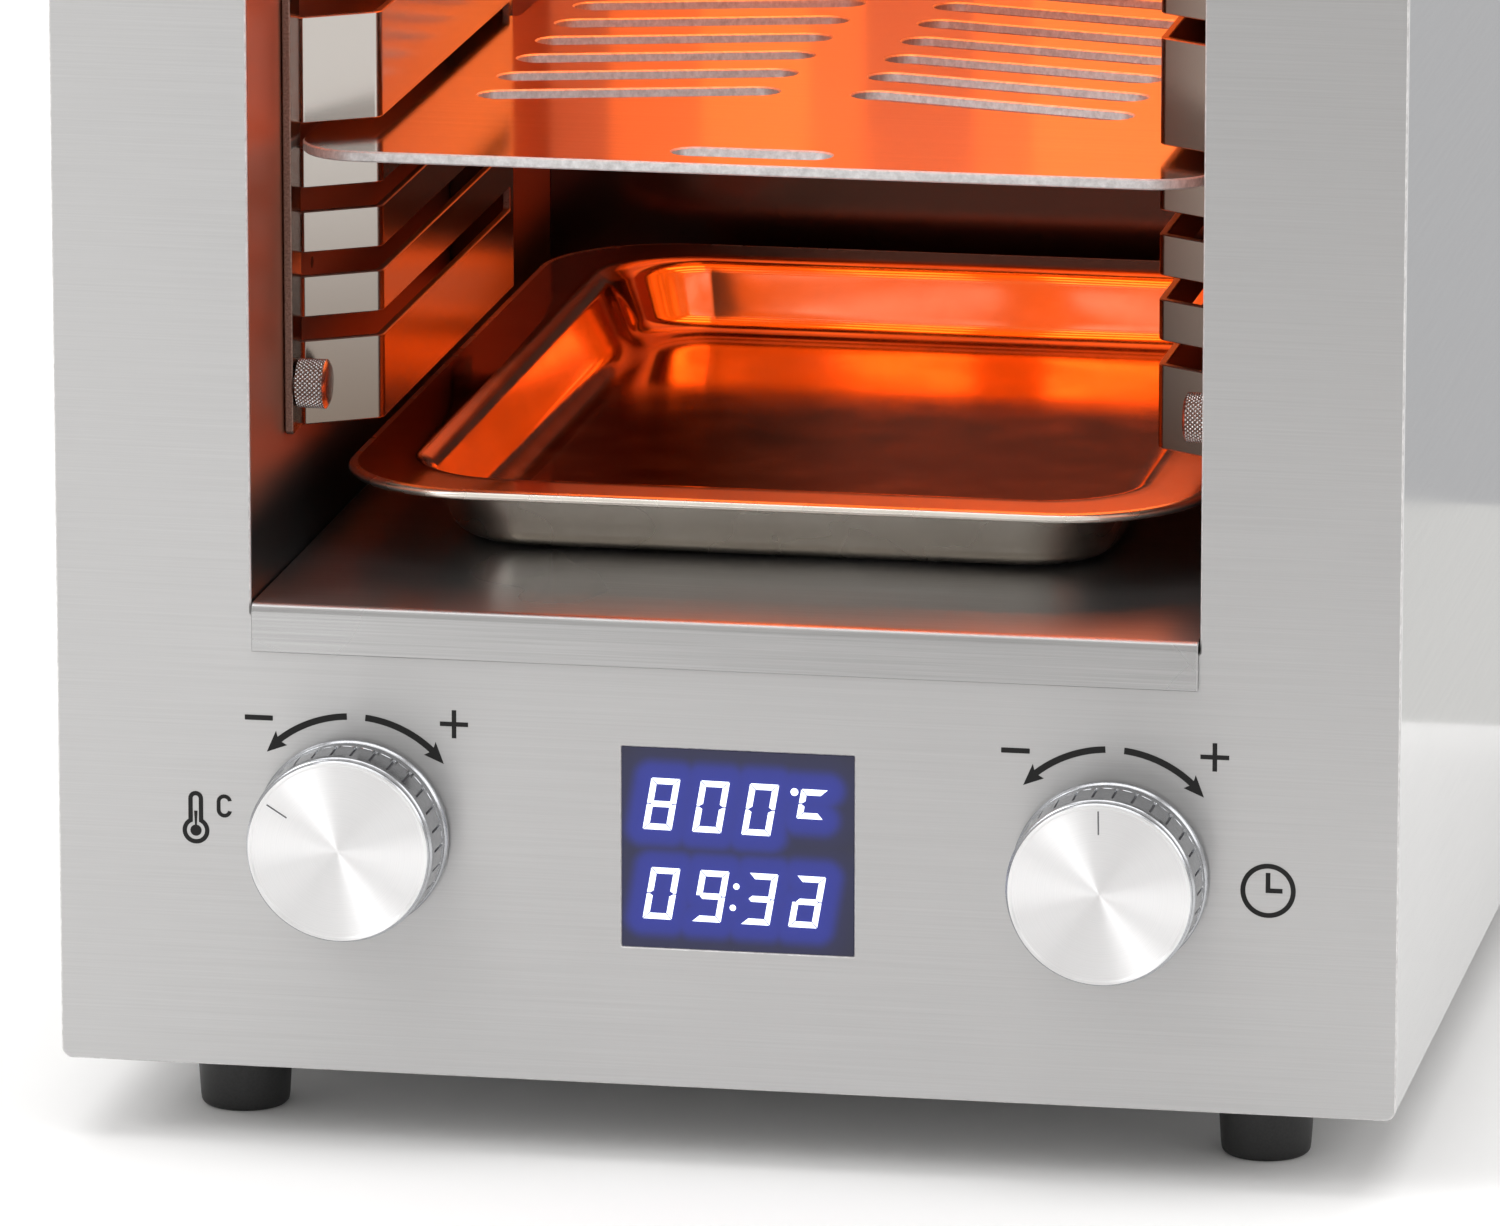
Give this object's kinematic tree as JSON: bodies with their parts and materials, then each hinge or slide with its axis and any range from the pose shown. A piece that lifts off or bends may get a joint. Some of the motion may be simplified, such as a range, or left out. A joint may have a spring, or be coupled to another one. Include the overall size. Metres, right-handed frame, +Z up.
{
  "type": "infrared steak grill",
  "caption": "Table-top open-front infrared grill: steel housing, slotted rack rails, slide-in grill rack and drip tray, rotary knobs and a lit readout.",
  "frame": {"origin": "centre of the bounding box at the surface that the feet stand on", "axes": "+X to the right seen from the front, +Y to the back, +Z up; the open front faces -Y"},
  "size_m": [0.245, 0.4, 0.365],
  "materials": {
    "brushed_steel": "brushed along the width, satin",
    "cavity_steel": "bright rolled sheet, slightly heat tinted",
    "bright_steel": "polished sheet",
    "hardware_steel": "turned, plain",
    "spun_aluminium": "spun face, satin sides",
    "black_rubber": "matte",
    "black_plastic": "matte",
    "dark_window": "smooth, lit from behind in blue and white",
    "ceramic": "unglazed",
    "heating_wire": "glowing orange",
    "mineral_wool": "fibrous",
    "circuit_board": "solder mask"
  },
  "bodies": {
    "housing": {"back_panel": "brushed_steel", "base_plate": "brushed_steel", "cavity_back_wall": "cavity_steel", "cavity_floor": "cavity_steel", "cavity_left_wall": "cavity_steel", "cavity_right_wall": "cavity_steel", "cavity_roof": "cavity_steel", "ceramic_plate": "ceramic", "control_board": "circuit_board", "display_module": "black_plastic", "display_window": "dark_window", "fan_frame": "black_plastic", "fan_guard": "bright_steel", "foot_front_left": "black_rubber", "foot_front_right": "black_rubber", "foot_rear_left": "black_rubber", "foot_rear_right": "black_rubber", "foot_screw_front_left": "hardware_steel", "foot_screw_front_right": "hardware_steel", "foot_screw_rear_left": "hardware_steel", "foot_screw_rear_right": "hardware_steel", "front_panel": "brushed_steel", "heat_shield": "cavity_steel", "heat_sink": "spun_aluminium", "heater_guard": "bright_steel", "heater_reflector": "bright_steel", "heating_wire": "heating_wire", "insulation_blanket": "mineral_wool", "outer_cover": "brushed_steel", "power_board": "circuit_board", "power_inlet": "black_plastic", "rack_rail_left": "bright_steel", "rack_rail_right": "bright_steel", "rear_spacer_left": "bright_steel", "rear_spacer_right": "bright_steel", "relay": "black_plastic", "safety_cutout": "black_plastic", "temperature_encoder": "black_plastic", "temperature_nut": "hardware_steel", "temperature_probe": "bright_steel", "terminal_block": "ceramic", "timer_encoder": "black_plastic", "timer_nut": "hardware_steel", "transformer": "black_plastic"},
    "temperature_control": {"temperature_knob": "spun_aluminium", "temperature_shaft": "hardware_steel"},
    "timer_control": {"timer_knob": "spun_aluminium", "timer_shaft": "hardware_steel"},
    "rack": {"grill_rack": "bright_steel"},
    "tray": {"drip_tray": "bright_steel"},
    "fan_rotor": {"fan_impeller": "black_plastic"},
    "screw_left_lower": {"thumbscrew_left_lower": "hardware_steel"},
    "screw_left_upper": {"thumbscrew_left_upper": "hardware_steel"},
    "screw_right_lower": {"thumbscrew_right_lower": "hardware_steel"},
    "screw_right_upper": {"thumbscrew_right_upper": "hardware_steel"}
  },
  "joints": [
    {"name": "temperature_turn", "type": "hinge", "parent": "housing", "child": "temperature_control", "pos_m": [-0.0678, -0.186, 0.0596], "axis": [0, 1, 0], "continuous": true},
    {"name": "timer_turn", "type": "hinge", "parent": "housing", "child": "timer_control", "pos_m": [0.0707, -0.186, 0.058], "axis": [0, 1, 0], "continuous": true},
    {"name": "rack_slide", "type": "slide", "parent": "housing", "child": "rack", "axis": [0, -1, 0], "range_m": [0, 0.24]},
    {"name": "tray_slide", "type": "slide", "parent": "housing", "child": "tray", "axis": [0, -1, 0], "range_m": [0, 0.262]},
    {"name": "fan_spin", "type": "hinge", "parent": "housing", "child": "fan_rotor", "pos_m": [0, 0.1765, 0.057], "axis": [0, 1, 0], "continuous": true},
    {"name": "screw_left_lower_turn", "type": "hinge", "parent": "housing", "child": "screw_left_lower", "pos_m": [-0.0847, -0.1536, 0.1354], "axis": [1, 0, 0], "continuous": true},
    {"name": "screw_left_upper_turn", "type": "hinge", "parent": "housing", "child": "screw_left_upper", "pos_m": [-0.0847, -0.1536, 0.2895], "axis": [1, 0, 0], "continuous": true},
    {"name": "screw_right_lower_turn", "type": "hinge", "parent": "housing", "child": "screw_right_lower", "pos_m": [0.0847, -0.1536, 0.1354], "axis": [1, 0, 0], "continuous": true},
    {"name": "screw_right_upper_turn", "type": "hinge", "parent": "housing", "child": "screw_right_upper", "pos_m": [0.0847, -0.1536, 0.2895], "axis": [1, 0, 0], "continuous": true}
  ]
}
